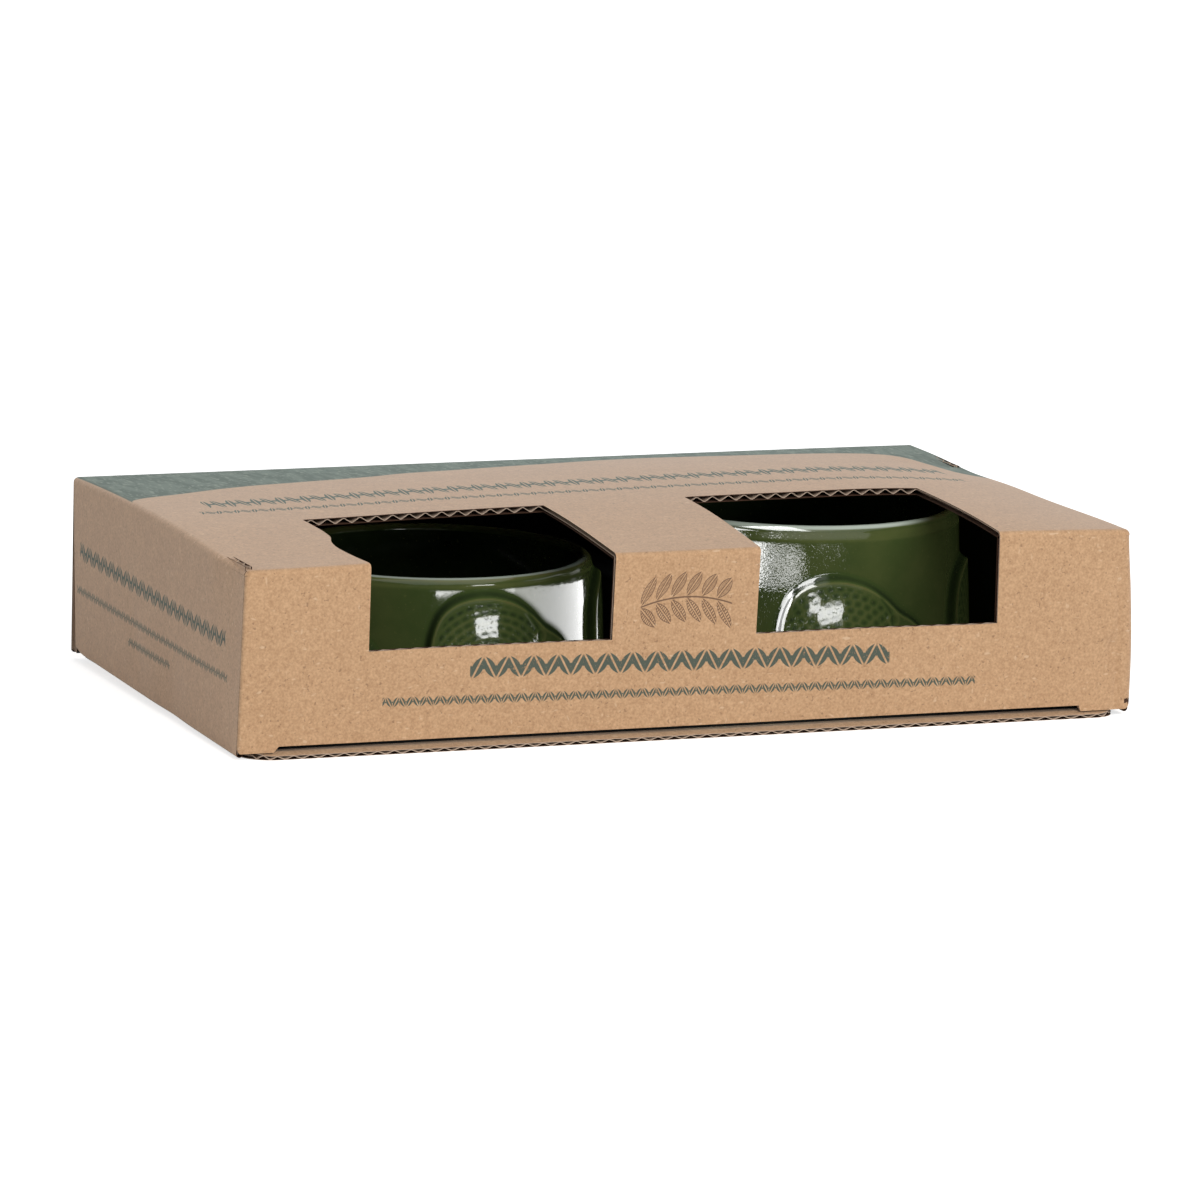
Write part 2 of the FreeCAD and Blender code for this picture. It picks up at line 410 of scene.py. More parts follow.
# Rings of staggered dimples pressed into the bowls' spiny backs; what they hold is stored as pooled glaze.
def makeDimpleTree():
    tree, given, result = newTree("spineDimples", "GeometryNodeTree", {
        "Geometry": "Geometry", "Ring spacing": "Float", "Dimple step": "Float", "Dimple length": "Float",
        "Dimple width": "Float", "Depth": "Float", "Pooling": "Float", "Material": "Material",
    }, {"Geometry": "Geometry"})
    geometry, spacing, step, length, width, depth, pooling, material = given
    radius, angle = named(tree, "ringRadius"), named(tree, "ringAngle")
    ring = calc("FLOOR", radius / spacing)
    middle = (ring + 0.5) * spacing
    around = middle * (2 * math.pi)
    count = calc("ROUND", around / step)
    turn = angle / (2 * math.pi) * count + ring % 2 * 0.5
    along = (calc("FRACT", turn) - 0.5) * (around / count)
    dimple = calc("EXPONENT", (abs(along / length) ** 3 + abs((radius - middle) / width) ** 3) * -1)
    dimple = dimple * named(tree, "spines")
    offset = scaled(named(tree, "outward", "FLOAT_VECTOR"), dimple * (depth * -1))
    moveAndFinish(geometry, offset, material, result, {"poolAndShade": named(tree, "poolAndShade") + dimple * pooling})
    return tree


# Materials

def newMaterial(name):
    material = bpy.data.materials.new(name)
    material.use_nodes = True
    return material, material.node_tree, material.node_tree.nodes["Principled BSDF"]


# A new material, its shader and the place on the piece in metres.
def patterned(name):
    material, tree, shader = newMaterial(name)
    return material, shader, added(tree, "ShaderNodeTexCoord", {}, "Object")


# Noise at so many cells a metre, stretched along some axes.
def noise(vector, perMetre, detail=2.0, roughness=0.5, stretch=(1, 1, 1), place=(0, 0, 0)):
    tree = treeOf(vector)
    moved = added(tree, "ShaderNodeMapping",
                  {"Vector": vector, "Location": place, "Scale": [perMetre / s for s in stretch]})
    return added(tree, "ShaderNodeTexNoise",
                 {"Vector": moved, "Scale": 1, "Detail": detail, "Roughness": roughness}, "Fac")


def between(value, low, high, toLow=0.0, toHigh=1.0):
    return added(treeOf(value), "ShaderNodeMapRange", {
        "Value": value, "From Min": low, "From Max": high, "To Min": toLow, "To Max": toHigh,
    }, "Result", clamp=True)


def mixed(factor, first, second):
    return added(treeOf(factor, first, second), "ShaderNodeMix", {0: factor, 6: first, 7: second}, 2,
                 data_type="RGBA")


# A colour with small flecks scattered over it, which hide at most a share of it.
def flecked(color, place, perMetre, fleck, start, share, spot, stretch=(1, 1, 1)):
    spread = noise(place, perMetre, 1, 0.4, stretch, spot)
    return mixed(between(spread, start, start + 0.06, 0, share), color, fleck)


# Bumps stacked on each other: (height, distance in mm, strength).
def bumped(shader, heights, normal=None):
    for height, distance, strength in heights:
        under = {"Normal": normal} if normal else {}
        normal = added(treeOf(height), "ShaderNodeBump",
                       {"Height": height, "Distance": distance * mm, "Strength": strength, **under})
    put(normal, shader.inputs["Normal"])


kraft = {
    "pale": (0.640, 0.400, 0.222),
    "middle": (0.535, 0.322, 0.172),
    "deep": (0.432, 0.246, 0.124),
    "lightFleck": (0.74, 0.53, 0.34),
    "darkFleck": (0.23, 0.12, 0.058),
    # raw: near-black tint of the cut edges, painted shade
    "raw": (0.052, 0.026, 0.018),
    "flute": (0.56, 0.44, 0.35),
    "roughness": 0.58,
    "sheen": 0.34,
    "sheenRoughness": 0.5,
    "cloudPerMetre": 50,
    "grainPerMetre": 1150,
    "fleckPerMetre": 620,
}

ink = {
    "leafGreen": (0.048, 0.080, 0.065),
    "bandDeep": (0.040, 0.072, 0.060),
    "bandPale": (0.110, 0.150, 0.128),
    "bandSpeck": (0.24, 0.28, 0.235),
    "sheen": (0.10, 0.24, 0.22),
    "sprig": (0.120, 0.062, 0.034),
    "softness": 0.18,
    "blotchPerMetre": 230,
    "speckPerMetre": 700,
    "leafCover": 0.94,
    "bandCover": 0.93,
    "sprigCover": 0.9,
}

# Rows of printed leaves: face, middle along the row, half length, middle across, height, pitch, slope,
# lean in degrees and half width of a leaf
printRows = {
    "frontLarge": ("front", -2.1, 78.7, 27.8, 8.3, 4.6, -0.0130, 62, 2.08),
    "frontSmall": ("front", -1.5, 111.2, 16.9, 4.0, 2.5, -0.0112, 62, 1.0),
    "topLarge": ("top", 2.5, 144.0, 19.8, 15.0, 4.7, 0.0330, 84, 1.55),
    "topSmall": ("top", -1.0, 147.0, 0.8, 6.8, 3.3, 0.0140, 76, 1.05),
    "sideLarge": ("side", 3.1, 81.1, 40.4, 7.6, 4.4, 0.0160, 66, 1.7),
    "sideSmall": ("side", 3.0, 84.0, 26.9, 4.0, 2.5, 0.0060, 66, 0.9),
    "sideLowest": ("side", 4.3, 22.9, 19.1, 4.0, 2.5, 0.0040, 66, 0.9),
}

# Front limit of the printed band on the top panel, from left to right
bandEdge = [(-165, 21.0), (-162, 31.0), (-142, 40), (-114, 50.5), (-92, 53.5), (-65, 57), (-49, 62),
            (-35, 64), (6, 71.5), (48, 77.5), (94, 72), (130, 70.5), (142, 67), (151, 45), (156, 28),
            (165, 18)]

sprig = {"middle": -1.0, "level": 47.4, "halfLength": 17.0, "bend": 3.0, "pitch": 5.7, "leafHalf": 5.4,
         "leafWidth": 1.9, "leafLean": 56, "stem": 0.4, "hatchPitch": 0.62, "leafLift": 4.7}


# Colour and height of kraft paper: faint clouds, sandy grain, and a few pale and dark fibre flecks.
def paperGrain(place):
    grain, fleck = kraft["grainPerMetre"], kraft["fleckPerMetre"]
    clouds = noise(place, kraft["cloudPerMetre"], 3, 0.55)
    tone = noise(place, grain * 0.33) * 0.26 + noise(place, grain, 2, 0.6) * 0.62 + clouds * 0.12
    color = mixed(between(tone, 0.34, 0.50), kraft["deep"], kraft["middle"])
    color = mixed(between(tone, 0.50, 0.66), color, kraft["pale"])
    color = flecked(color, place, fleck, kraft["lightFleck"], 0.70, 0.55, (3, 8, 1), (2.4, 1.0, 1.0))
    color = flecked(color, place, fleck, kraft["lightFleck"], 0.71, 0.45, (7, 2, 5), (1.0, 1.0, 2.2))
    color = flecked(color, place, fleck * 1.3, kraft["darkFleck"], 0.70, 0.6, (1, 5, 9))
    return color, tone, clouds


# Positive inside a pointed leaf that lies along its first axis, apart from its bare midrib.
def leafShape(along, across, halfLength, halfWidth):
    reach, off = along / halfLength, abs(across)
    return calc("MINIMUM", (1 - reach * reach) * halfWidth - off, off - halfWidth * 0.13)


# Coordinates along and across a direction with this cosine and sine.
def turnedInPlane(x, y, cosine, sine):
    return x * cosine + y * sine, y * cosine - x * sine


# A printed border: leaves that lean left and right by turns, with a dot between them.
def makeLeafRow():
    labels = ("Along", "Across", "Half length", "Height", "Pitch", "Lean", "Leaf half width")
    inputs = dict.fromkeys(labels, "Float")
    tree, given, result = newTree("leafRow", "ShaderNodeTree", inputs, {"Mask": "Float"})
    along, across, halfLength, height, pitch, lean, leafHalf = given
    cells = along / pitch
    part = (calc("FRACT", cells) - 0.5) * pitch
    side = calc("FLOOR", cells) % 2 * 2 - 1
    p, q = turnedInPlane(part * side, across, calc("COSINE", lean), calc("SINE", lean))
    fromDot = calc("SQRT", (abs(part) - pitch * 0.5) ** 2 + across ** 2)
    shape = largest(leafShape(p, q, height * 0.54, leafHalf), height * 0.085 - fromDot)
    shape = calc("MINIMUM", shape, halfLength - abs(along))
    put(between(shape, -0.05, ink["softness"]), result)
    return tree


# Mask of one printed row. The first three are the directions along and across it and the face it is on.
def rowMask(along, across, on, middle, halfLength, level, height, pitch, slope, lean, leafHalf):
    along = along - middle
    return on * added(treeOf(on), "ShaderNodeGroup", {
        "Along": along, "Across": across - level - along * slope, "Half length": halfLength, "Height": height,
        "Pitch": pitch, "Lean": math.radians(lean), "Leaf half width": leafHalf}, node_tree=leafRow)


# 1 behind the band's wavy front limit on the top panel.
def bandMask(x, y, z):
    curve = treeOf(x).nodes.new("ShaderNodeFloatCurve")
    half, line = carton["halfWidth"], curve.mapping.curves[0].points
    spots = [((px + half) / (2 * half), py / half) for px, py in bandEdge]
    line[0].location, line[1].location = spots[0], spots[-1]
    for spot in spots[1:-1]:
        line.new(*spot)
    curve.mapping.update()
    put(between(x, -half, half), curve.inputs["Value"])
    past = y - Value(curve.outputs[0]) * half
    onTop = z > foldHeight - board["fold"] - 1.0
    return between(past, -0.3, 0.5) * onTop * between(abs(x), half - 0.9, half - 1.3)


# A printed sprig in brown line work: pairs of hatched leaves along a bowed stem.
def sprigMask(x, z, onFront):
    part = x - sprig["middle"]
    share = part / sprig["halfLength"]
    off = z - sprig["level"] - (1 - share * share) * sprig["bend"]
    local = (calc("FRACT", part / sprig["pitch"]) - 0.5) * sprig["pitch"]
    lean = math.radians(sprig["leafLean"])
    p, q = turnedInPlane(local, abs(off) - sprig["leafLift"], math.cos(lean), math.sin(lean))
    leaf = leafShape(p, q, sprig["leafHalf"], sprig["leafWidth"])
    hatch = calc("SINE", (p + off * 0.4) * (2 * math.pi / sprig["hatchPitch"]))
    lines = between(leaf, 0.0, 0.1) * between(hatch, -0.1, 0.7)
    stem = between(abs(off), sprig["stem"], sprig["stem"] * 0.4)
    shape = largest(lines, abs(leaf - 0.12) < 0.13, stem)
    inside = between(abs(part), sprig["halfLength"] + 0.2, sprig["halfLength"])
    return shape * inside * onFront * ink["sprigCover"]


def makePrintedKraft():
    material, shader, place = patterned("printedKraft")
    enlarged = scaled(place, 1 / mm)
    x, y, z = [added(treeOf(place), "ShaderNodeSeparateXYZ", {0: enlarged}, axis) for axis in "XYZ"]
    half, fold = carton["halfWidth"], board["fold"]
    onFront = y < fold / 2 - carton["halfDepth"]
    faces = {"front": (x, z, onFront), "top": (x, y, z > foldHeight - fold / 4),
             "side": (y, z, abs(x) > half - fold / 2)}
    color, tone, clouds = paperGrain(place)
    leaves = largest(*[rowMask(*faces[face], *row) for face, *row in printRows.values()])
    leaves = leaves * between(tone, 0.30, 0.42, 0.25, 1.0) * ink["leafCover"]
    blotches = noise(place, ink["blotchPerMetre"], 3, 0.55, (1, 4, 1))
    specks = noise(place, ink["speckPerMetre"], 1, 0.5, (1, 3.5, 1), (4, 1, 2))
    band = mixed(between(blotches, 0.42, 0.58), ink["bandDeep"], ink["bandPale"])
    band = mixed(between(specks, 0.56, 0.68, 0, 0.7), band, ink["bandSpeck"])
    # painted shade: the band darkens towards the side folds
    band = mixed(between(abs(x), half - 3.2, half - 1.6) * 0.6, band, ink["leafGreen"])
    covered = bandMask(x, y, z) * ink["bandCover"]
    color = mixed(covered, mixed(leaves, color, ink["leafGreen"]), band)
    fill(shader, {
        "Base Color": mixed(sprigMask(x, z, onFront), color, ink["sprig"]),
        "Roughness": kraft["roughness"],
        "Sheen Weight": kraft["sheen"],
        "Sheen Roughness": kraft["sheenRoughness"],
        "Sheen Tint": mixed(largest(covered, leaves), (1, 1, 1), ink["sheen"]),
    })
    bumped(shader, [(clouds, 0.35, 0.4), (tone, 0.05, 0.35)])
    return material


# Unprinted inner paper under a tint: the near-black one is painted shade in the cut edges and flute voids,
# the pale one is the flute paper.
def makeRawKraft(name, tint, cover):
    material, shader, place = patterned(name)
    color, tone, _ = paperGrain(place)
    fill(shader, {"Base Color": mixed(cover, color, tint), "Roughness": 0.9, "Specular IOR Level": 0.2})
    bumped(shader, [(tone, 0.10, 0.6)])
    return material


# A matt material with a fine grain between two colours.
def makeGrained(name, perMetre, detail, spread, colors, roughness, specular, grainDepth, strength):
    material, shader, place = patterned(name)
    tone = noise(place, perMetre, detail, 0.6)
    fill(shader, {"Base Color": mixed(between(tone, *spread), *colors), "Roughness": roughness,
                  "Specular IOR Level": specular})
    bumped(shader, [(tone, grainDepth, strength)])
    return material


glaze = {
    "thin": (0.105, 0.118, 0.038),
    "plain": (0.048, 0.072, 0.020),
    # darkest glaze: real pooling in the dimples, and painted shade inside the bowls
    "pooledAndShaded": (0.012, 0.021, 0.009),
    "rust": (0.115, 0.070, 0.028),
    # crest: colour of the painted highlight along the rim
    "crest": (0.43, 0.49, 0.42),
    "roughness": 0.07,
    "ior": 1.55,
    "gritDepth": 0.10,
    "leanBack": 0.25,
    "level": 0.42,
    "driftPerMetre": 60,
    "rustPerMetre": 210,
    "speckPerMetre": 900,
    "wavePerMetre": 120,
    "pitPerMetre": 1400,
    "gritPerMetre": 1500,
}


# Gloss green glaze: pale where it ran thin, dark where it pooled and where shade is painted inside the bowls,
# with a painted highlight at the rim's crest, and without mirror images on soft slopes.
def makeGlaze():
    material, shader, place = patterned("greenGlaze")
    tree = treeOf(place)
    poolAndShade, crest, soft, pitted, onRelief = [
        added(tree, "ShaderNodeAttribute", {}, "Fac", attribute_name=name)
        for name in ("poolAndShade", "crest", "soft", "pitted", "onRelief")]
    level = poolAndShade + (noise(place, glaze["driftPerMetre"], 3, 0.55) - 0.5) * 0.35
    color = mixed(between(level, 0.15, 0.5), glaze["thin"], glaze["plain"])
    color = mixed(between(level, 0.55, 0.95), color, glaze["pooledAndShaded"])
    rust = between(noise(place, glaze["rustPerMetre"], 3, 0.6, place=(4, 4, 4)), 0.5, 0.68)
    color = mixed(rust * between(level, 0.28, 0.08) * 0.6, color, glaze["rust"])
    color = flecked(color, place, glaze["speckPerMetre"], glaze["thin"], 0.70, 0.45, (2, 6, 3))
    fill(shader, {
        # the crest mask mixes in a painted highlight along the rim
        "Base Color": mixed(crest * 0.9, color, glaze["crest"]),
        "Roughness": glaze["roughness"],
        "Specular IOR Level": between(soft, 0, 0.95, 0.5, 0.0),
        "IOR": glaze["ior"],
    })
    # the reliefs' faces mirror what lies higher, because their backs lean away
    normal = added(tree, "ShaderNodeNewGeometry", {}, "Normal")
    lift = added(tree, "ShaderNodeCombineXYZ", {"Z": onRelief * glaze["leanBack"]})
    tipped = added(tree, "ShaderNodeVectorMath", {0: normal, 1: lift}, operation="ADD")
    tipped = added(tree, "ShaderNodeVectorMath", {0: tipped}, operation="NORMALIZE")
    bumped(shader, [
        (noise(place, glaze["wavePerMetre"]), 0.25, 0.35),
        (between(noise(place, glaze["pitPerMetre"], 2, 0.55), 0.62, 0.80), 0.05, 0.5),
        (noise(place, glaze["gritPerMetre"], 1, 0.6, place=(9, 9, 9)) * pitted, glaze["gritDepth"], 1.0),
    ], tipped)
    return material


leafRow = makeLeafRow()
printedKraft = makePrintedKraft()
shadedRawKraft = makeRawKraft("shadedRawKraft", kraft["raw"], 0.97)
flutePaper = makeRawKraft("flutePaper", kraft["flute"], 0.85)
# near-black inner faces of every board: painted shade of the unlit inside
paintedInsideShade = makeGrained("paintedInsideShade", 700, 3, (0.4, 0.7), ((0.006, 0.006, 0.007), (0.013, 0.013, 0.014)),
                         0.92, 0.15, 0.10, 0.5)
greenGlaze = makeGlaze()
# the unglazed ring that a bowl stands on
bareClay = makeGrained("bareClay", 800, 4, (0.35, 0.65), ((0.50, 0.42, 0.32), (0.68, 0.60, 0.49)),
                       0.85, 0.5, 0.12, 0.6)
# finishes by number: printed kraft; cut edges and faces that meet the flutes, near-black as painted shade;
# inner faces, near-black as painted shade; flute paper
boardFinish = [printedKraft, shadedRawKraft, paintedInsideShade, flutePaper]
fluteTree = makeFluteTree()
dimpleTree = makeDimpleTree()
print("materials and node trees are ready")


# The carton's cover: top panel, front and back wall, side walls

halfX, halfY = carton["halfWidth"], carton["halfDepth"]
flatX, flatY = halfX - board["fold"], halfY - board["fold"]
foldArc = board["fold"] * math.pi / 2
fluteStep = board["flutePitch"] / board["stepsPerFlute"]
windowEdges = [side * window["spacing"] / 2 + end * window["width"] / 2
               for side in (-1, 1) for end in (-1, 1)]


# Height of the top panel's outer face, which swells between its front and rear folds.
def topHeight(x, y):
    swell = smoothThrough(carton["crown"], x) * (1 - (y / halfY) ** 2)
    depth, middle, spread = carton["endSag"]
    sag = depth * hill(y, middle, spread) * ramp(x, *carton["endSagSpan"])
    return foldHeight + swell - sag + smoothThrough(carton["foldDrift"], x) * ramp(-y, *carton["driftFade"])


# How far the board near the right front corner was pushed outwards.
def cornerFlare(x, y, z):
    return smoothThrough(carton["flare"], z) * ramp(x, *carton["flareSpan"]) * ramp(-y, *carton["flareFade"])


# The left front corner leans inwards towards its top.
def cornerLean(x, y, z):
    share = np.clip(z / foldHeight, 0, 1)
    return carton["leanIn"] * share * ramp(-x, *carton["leanSpan"]) * ramp(-y, *carton["leanFade"])


# Sideways drift of the strips around the front windows, more at the sill than at the fold.
def sway(x, y, z):
    low = 1 - np.clip((z - window["sill"]) / (foldHeight - window["sill"]), 0, 1)
    drift = smoothThrough(window["sway"], x) + smoothThrough(window["lowSway"], x) * low
    return -drift * ramp(-y, *window["swayFade"]) * ramp(z, *window["swayHeights"])


def inWindow(u):
    return np.abs(np.abs(u) - window["spacing"] / 2) < window["width"] / 2


# Sideways shift of the board beside the left window's torn edge.
def tornShift(u, v):
    return smoothThrough(window["tear"], v) * hill(u, windowEdges[0], window["tearFade"])


# The top panel with its folds: past the flat stretch, both ways, the board rolls down.
def topSurface(u, v, depth):
    fold = board["fold"]
    x, y = np.clip(u, -flatX, flatX), np.clip(v, -flatY, flatY)
    turn, heading = roundCorner(np.abs(u - x) / fold, np.abs(v - y) / fold)
    out = (fold - depth) * np.sin(turn)
    height = topHeight(x, y) - fold + (fold - depth) * np.cos(turn)
    x = x + tornShift(u, v) + cornerFlare(x + 3, y, foldHeight) + cornerLean(x - 3, y, foldHeight)
    x = x + sway(x, y, foldHeight)
    return np.stack([x + np.sign(u) * out * np.cos(heading), y + np.sign(v) * out * np.sin(heading), height],
                    axis=1)


# Windows, and the slits at the corners where the side walls' folds end.
def topCut(u, v):
    slit = foldArc / board["foldSteps"]
    past = np.abs(v) - flatY
    slits = (past > 0) & (past < slit) & (np.abs(u) - flatX > 1.5 * slit)
    return inWindow(u) & (v < bySide(window["reach"], u) - halfY) | slits


def makeTopPanel():
    rears = [reach - halfY for reach in window["reach"].values()]
    tearSide = [windowEdges[0] - window["tearFade"] * k for k in (1, 2)]
    us = withFolds(halfX, 4.0, windowEdges + tearSide)
    fluteUs = withFolds(halfX, fluteStep, windowEdges)
    fluteVs = withFolds(halfY, 9.0, rears + [-60, -70, -80])
    makeBoards("topPanel", boardParts(us, withFolds(halfY, 2.2, rears), fluteUs, fluteVs, topSurface, topCut))


frontFoot = {"width": {-1: 15.0, 1: 15.9}, "notch": 2.1, "slant": {-1: 1.8, 1: 0.9}, "slantWidth": 3.0,
             "cornerRise": {-1: 1.4, 1: 2.2}}
wallBottom = board["thickness"]
seam = 6.0

# Creases and dents of the front wall: place, size and depth in millimetres
dents = [(160.2, 38.0, 0.8, 16.0, 0.5), (159.6, 15.0, 0.8, 13.0, 0.7), (158.0, 24.5, 1.5, 4.5, 1.0),
         (157.0, 29.5, 1.8, 1.8, -0.4), (-161.0, 45.0, 1.0, 16.0, 0.16), (76.0, 34.5, 0.8, 2.6, 0.16),
         (-114.0, 39.0, 1.6, 1.6, 0.2)]

# Where the print is worn off at the right front corner: its height, half height, width and outer limit
wornSpot = {"level": 5.4, "half": 0.9, "width": 2.6, "limit": 170.3}


# Front (-1) or back (1) wall: upright, with both ends rolled round towards the side walls.
def wallSurface(side):
    corner = carton["frontCorner"] if side < 0 else carton["rearCorner"]

    def surface(u, v, depth):
        fold = bySide(corner, u)
        x = np.clip(u, corner[-1] - halfX, halfX - corner[1])
        turn = np.abs(u - x) / fold
        radius = fold - depth
        level = topHeight(x, side * flatY) - board["fold"] - seam
        z = np.where(v > 1, level + (v - 1) * seam, wallBottom + v * (level - wallBottom))
        z = z + bySide(frontFoot["cornerRise"], u) * ramp(turn, 0.1, math.pi / 2) * np.clip(1 - v * 4, 0, 1)
        x = x + np.sign(u) * radius * np.sin(turn)
        y = side * (halfY - fold + radius * np.cos(turn))
        if side < 0:
            slope = np.clip(1 - (z - wallBottom) / frontFoot["notch"], 0, 1)
            near = hill(np.abs(u), halfX - bySide(frontFoot["width"], u), frontFoot["slantWidth"])
            x = x + np.sign(u) * bySide(frontFoot["slant"], u) * slope * near
            for place, height, wide, tall, deep in dents:
                y = y + deep * hill(u, place, wide) * hill(z, height, tall)
            x = x + cornerFlare(u, -halfY, z) + cornerLean(u, -halfY, z) + sway(x, -halfY, z)
            z = z - smoothThrough(window["sillDrop"], x) * hill(z, window["sill"], window["sillSpread"])
        return np.stack([x, y, z], axis=1)
    return surface


# Height above the wall's bottom as a share of its straight part.
def wallShare(z):
    return (z - wallBottom) / (foldHeight - board["fold"] - seam - wallBottom)


def makeFrontWall():
    sill, notchTop = wallShare(window["sill"]), wallShare(wallBottom + frontFoot["notch"])
    notch = [frontFoot["width"][-1] - halfX, halfX - frontFoot["width"][1]]

    def cut(u, v):
        return inWindow(u) & (v > sill) | (u > notch[0]) & (u < notch[1]) & (v < notchTop)

    corner = carton["frontCorner"].values()
    crumpled = np.arange(154.8, 162.2, 0.6)
    us = withFolds(halfX, 3.0, windowEdges + notch + [-159, *crumpled], *corner)
    vs = spaced([0, notchTop, wallShare(4.6), wallShare(5.4), wallShare(6.2), sill, 1, 2], 0.035)
    fluteUs = withFolds(halfX, fluteStep, windowEdges + notch, *corner)
    parts = boardParts(us, vs, fluteUs, spaced([0, notchTop, sill, 1, 2], 0.25), wallSurface(-1), cut)
    points, faces, tint = parts[0]
    x, _, z = points[faces].mean(axis=1).T
    off = np.abs(z - wornSpot["level"])
    worn = np.clip(1.2 - 0.9 * off, 0, 1) * wornSpot["width"]
    tint[(tint == 0) & (x > wornSpot["limit"] - worn) & (off < wornSpot["half"])] = 1
    makeBoards("frontWall", parts)


# The same surface with its first coordinate run the other way, so that its faces point outwards.
def turned(surface, ends=0.0):
    return lambda u, v, depth: surface(ends - u, v, depth)


def makeBackWall():
    parts = boardParts(withFolds(halfX, 5.0), spaced([0, 1, 2], 0.07), withFolds(halfX, fluteStep),
                       spaced([0, 1, 2], 0.25), turned(wallSurface(1)))
    makeBoards("backWall", parts)


sideWall = {"slot": 0.2, "taper": 5.2, "bottom": boxOf("left_outer_wall")[0][2], "rearRise": 2.9,
            "cornerRise": 1.6, "cornerReach": 12, "dent": 0.7, "softDent": 0.35}


# Outer side wall, from the top fold down to its rolled lower edge. Its rear edge leans forward.
def sideSurface(side):
    half = board["thickness"] / 2

    def surface(u, v, depth):
        top = topHeight(side * flatX, u) - board["fold"]
        low = sideWall["bottom"] + half + sideWall["rearRise"] * (u / halfY + 1) / 2
        low = low + sideWall["cornerRise"] * ramp(u, halfY - sideWall["cornerReach"], halfY) ** 2
        z = top + (low - top) * np.clip(v, 0, 1)
        roll = np.clip(v - 1, 0, 1) * math.pi / 2
        radius = half - depth
        lean = sideWall["taper"] * np.clip((foldHeight - z) / foldHeight, 0, 1) ** 1.3
        y = u - lean * ramp(u, 0, flatY)
        soft = hill(y, -60, 22) * hill(z, 40, 16) + hill(y, 8 + z / 2, 7) * hill(z, 18, 20) * ramp(z, 2, 12)
        inward = sideWall["dent"] * hill(y, -22, 13) * hill(z, 12, 14) + sideWall["softDent"] * soft
        x = halfX - half + radius * np.cos(roll) - inward
        z = z - np.abs(radius) * np.sin(roll)
        x = x + (cornerFlare(halfX, y, z) if side > 0 else -cornerLean(-halfX, y, z))
        return np.stack([side * x, y, z], axis=1)
    return surface


def makeOuterWall(side, name):
    front = carton["frontCorner"][side] + sideWall["slot"] - halfY
    rear = halfY - carton["rearCorner"][side] - sideWall["slot"]
    us = spaced([front, halfY - sideWall["cornerReach"], rear], 3.0)
    vs = np.concatenate([spaced([0, 1], 0.05), 1 + spaced([0, 1], 0.2)[1:]])
    surface = sideSurface(side)
    if side > 0:
        us, surface = -us[::-1], turned(surface)
    makeBoards(name, boardParts(us, vs, spaced([us[0], us[-1]], 9.0), spaced([0, 1], fluteStep / foldHeight),
                                surface, acrossU=False))


cameraView = {"place": (-1071.5, -2753.0, 578.9), "azimuth": -21.335, "elevation": 10.488, "roll": 1.467,
              "focal": 8374.3, "photoSize": 1200, "sensor": 36.0}


# Direction from the part towards a camera or a lamp.
def towards(azimuth, elevation):
    a, e = math.radians(azimuth), math.radians(elevation)
    return Vector((math.sin(a) * math.cos(e), -math.cos(a) * math.cos(e), math.sin(e)))


def makeCamera():
    az, roll = [math.radians(cameraView[k]) for k in ("azimuth", "roll")]
    back = towards(cameraView["azimuth"], cameraView["elevation"])
    level = Vector((math.cos(az), math.sin(az), 0))
    upright = back.cross(level)
    right = math.cos(roll) * level + math.sin(roll) * upright
    up = -math.sin(roll) * level + math.cos(roll) * upright
    data = bpy.data.cameras.new("camera")
    data.sensor_fit = "HORIZONTAL"
    data.sensor_width = cameraView["sensor"]
    data.lens = cameraView["focal"] * cameraView["sensor"] / cameraView["photoSize"]
    data.clip_start, data.clip_end = 0.1, 50
    camera = addObject("camera", data)
    turn = Matrix((right, up, back)).transposed().to_4x4()
    camera.matrix_world = Matrix.Translation(Vector(cameraView["place"]) * mm) @ turn
    bpy.context.scene.camera = camera


makeTopPanel()
makeFrontWall()
makeBackWall()
for side, word in ((-1, "left"), (1, "right")):
    makeOuterWall(side, word + "OuterWall")
makeCamera()


# Flat boards: flaps, inner walls, base and divider

# A board that fills a box. outward: axis number and sign of its outer face. Flutes cross its first direction
# or its second one.
def flatBoard(low, high, outward, acrossU):
    axis, sign = outward
    first, second = (axis + 1) % 3, (axis + 2) % 3
    uAxis, vAxis, inward = np.eye(3)[[first, second, axis]] * [[sign], [1], [-sign]]
    corner = np.array(low, float)
    moved = axis if sign > 0 else first
    corner[moved] = high[moved]
    width, height = high[first] - low[first], high[second] - low[second]

    def surface(u, v, depth):
        return corner + u[:, None] * uAxis + v[:, None] * vAxis + depth * inward

    flat, run = board["flatStep"], board["fluteRun"]
    steps = (fluteStep, run) if acrossU else (run, fluteStep)
    return boardParts(spaced([0, width], flat), spaced([0, height], flat), spaced([0, width], steps[0]),
                      spaced([0, height], steps[1]), surface, acrossU=acrossU)


# A corner flap: it stands between the outer and the inner side wall. Its flutes are upright.
def makeFlap(side, name):
    makeBoards(name, flatBoard(*boxOf(nodeOf(name)), (0, side), True))


# how much lower the inner walls end than in the CAD part, so that they stay under the sagging top
innerDrop = 3.3


# The side wall's rolled end: a web over the base's edge and the board that stands up inside.
def makeInnerWall(side, name):
    low, high = boxOf(nodeOf(name))
    thick = board["thickness"]
    near, webTop = low[0] if side > 0 else high[0] - thick, low[2] + thick
    far = (near + thick, high[1], high[2] - innerDrop)
    web = flatBoard(low, (high[0], high[1], webTop), (2, -1), True)
    upright = flatBoard((near, low[1], webTop), far, (0, side), False)
    makeBoards(name, web + upright)


baseBoard = {"corner": {-1: 12.0, 1: 9.0}, "cornerStep": 1.3, "crush": 1.0, "crushWidth": 3.5, "ahead": 1.0,
             "leftInset": 6.0, "insetReach": 140, "rightOutset": 3.6, "endsFrom": 120, "aheadFrom": 60,
             "litEdge": 6.0}


